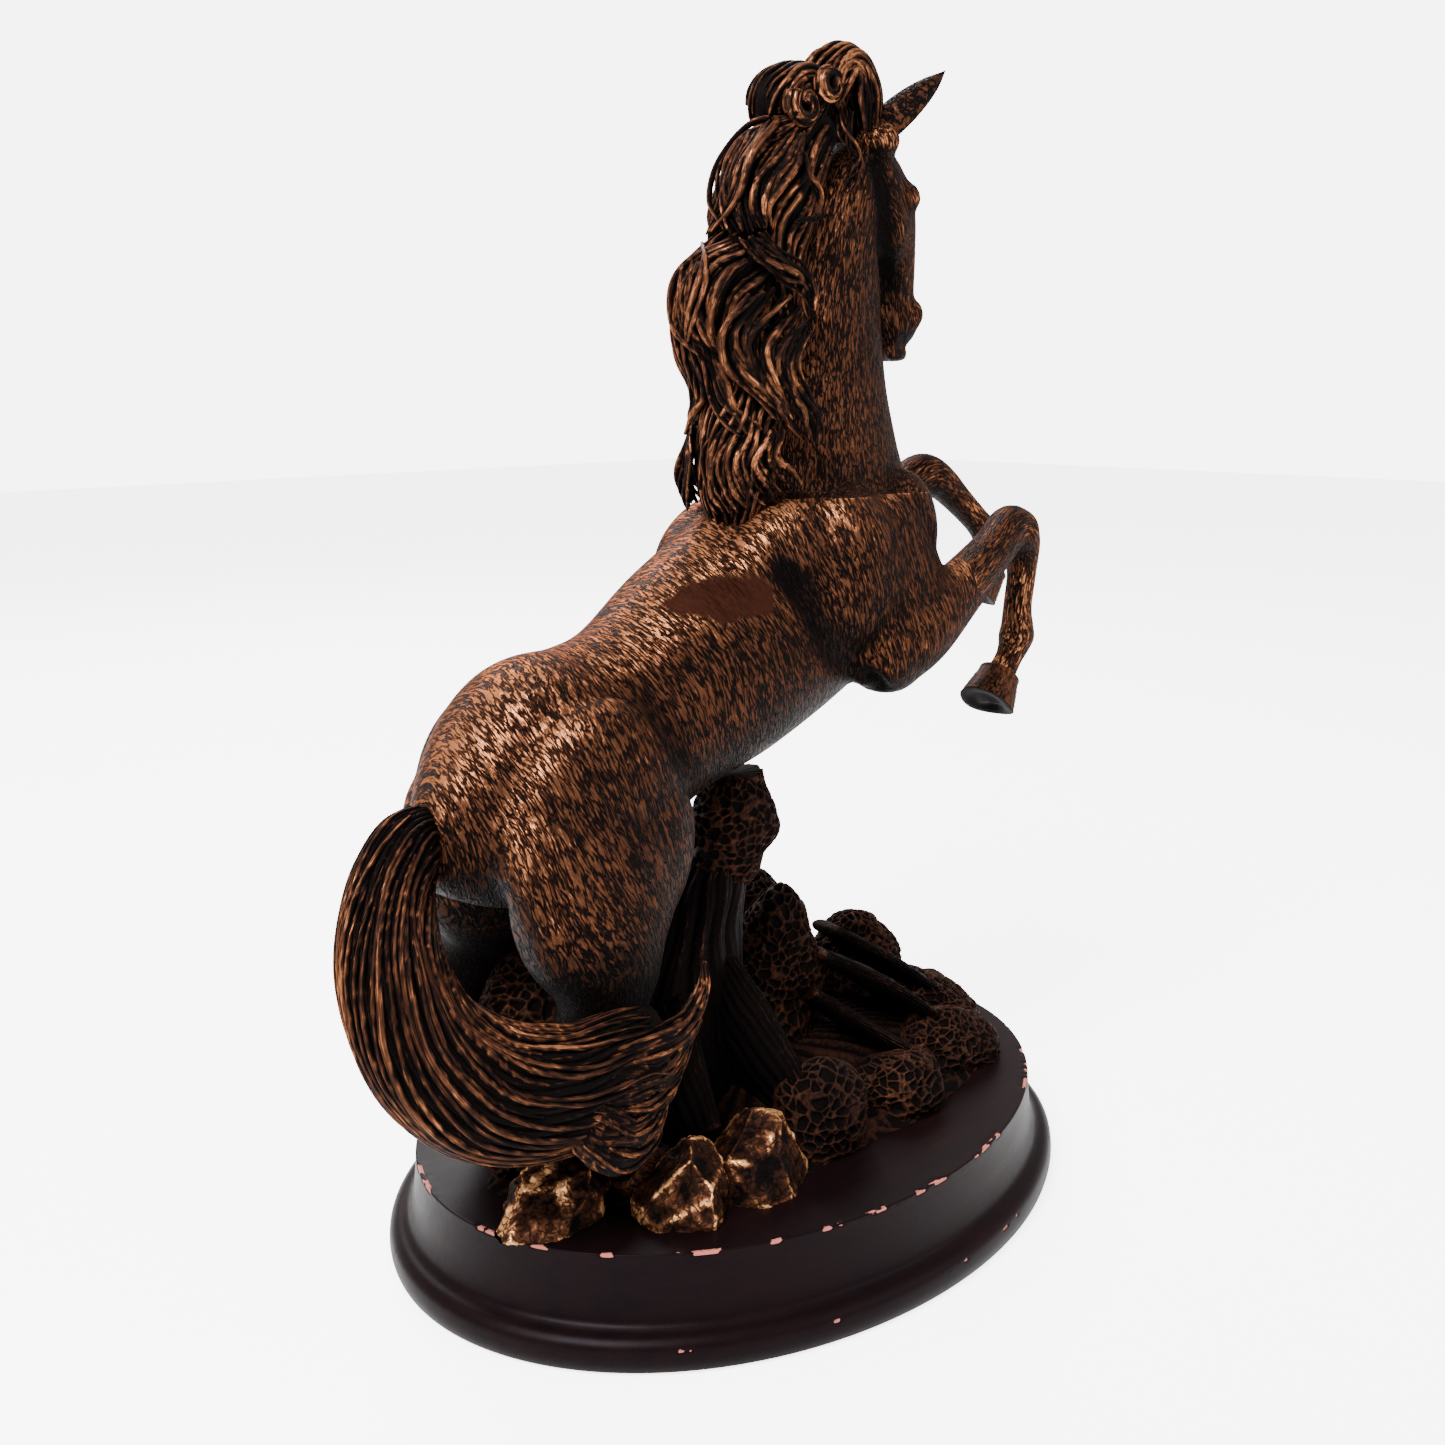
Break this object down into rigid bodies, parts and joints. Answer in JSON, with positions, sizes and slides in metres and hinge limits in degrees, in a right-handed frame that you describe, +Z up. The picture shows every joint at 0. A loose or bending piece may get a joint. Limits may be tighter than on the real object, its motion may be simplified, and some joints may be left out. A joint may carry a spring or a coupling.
{
  "type": "horse statuette",
  "caption": "Rearing horse statuette cast in sections, propped over foaming wave ground and rocks, on an oval wooden plinth with a felt underside.",
  "frame": {"origin": "middle of the felt's underside, on the surface the statuette stands on", "axes": "+X the way the horse faces, +Y the horse's left, +Z up"},
  "size_m": [0.249, 0.154, 0.2985],
  "materials": {
    "bronze": "dark brown bronze patina, rubbed to copper on the raised hair",
    "plinth_lacquer": "turned wood under dark mahogany satin lacquer, chipped along the top edge",
    "felt": "black pressed felt",
    "steel": "zinc plated steel"
  },
  "bodies": {
    "root": {"base_screws": "steel", "felt_pad": "felt", "foam_crest_far": "bronze", "foam_crest_near": "bronze", "foam_front": "bronze", "foam_near": "bronze", "foam_ridge": "bronze", "foam_right": "bronze", "foam_toe": "bronze", "foam_under_rump": "bronze", "forelock": "bronze", "ground_casting": "bronze", "head": "bronze", "head_pin": "steel", "hind_foot_studs": "steel", "hip_pin": "steel", "left_ear": "bronze", "left_fore_hoof": "bronze", "left_foreleg": "bronze", "left_hind_hoof": "bronze", "left_hind_leg": "bronze", "mane_base": "bronze", "mane_crest": "bronze", "mane_middle": "bronze", "mane_right_lock": "bronze", "neck": "bronze", "neck_pin": "steel", "plinth": "plinth_lacquer", "poll_curl": "bronze", "right_ear": "bronze", "right_fore_hoof": "bronze", "right_foreleg": "bronze", "right_hind_hoof": "bronze", "right_hind_leg": "bronze", "rock_left": "bronze", "rock_middle": "bronze", "rock_right": "bronze", "shoulder_pin": "steel", "stump_cap": "bronze", "stump_support": "bronze", "tail": "bronze", "tail_pin": "steel", "tail_tip": "bronze", "torso": "bronze"}
  },
  "joints": []
}
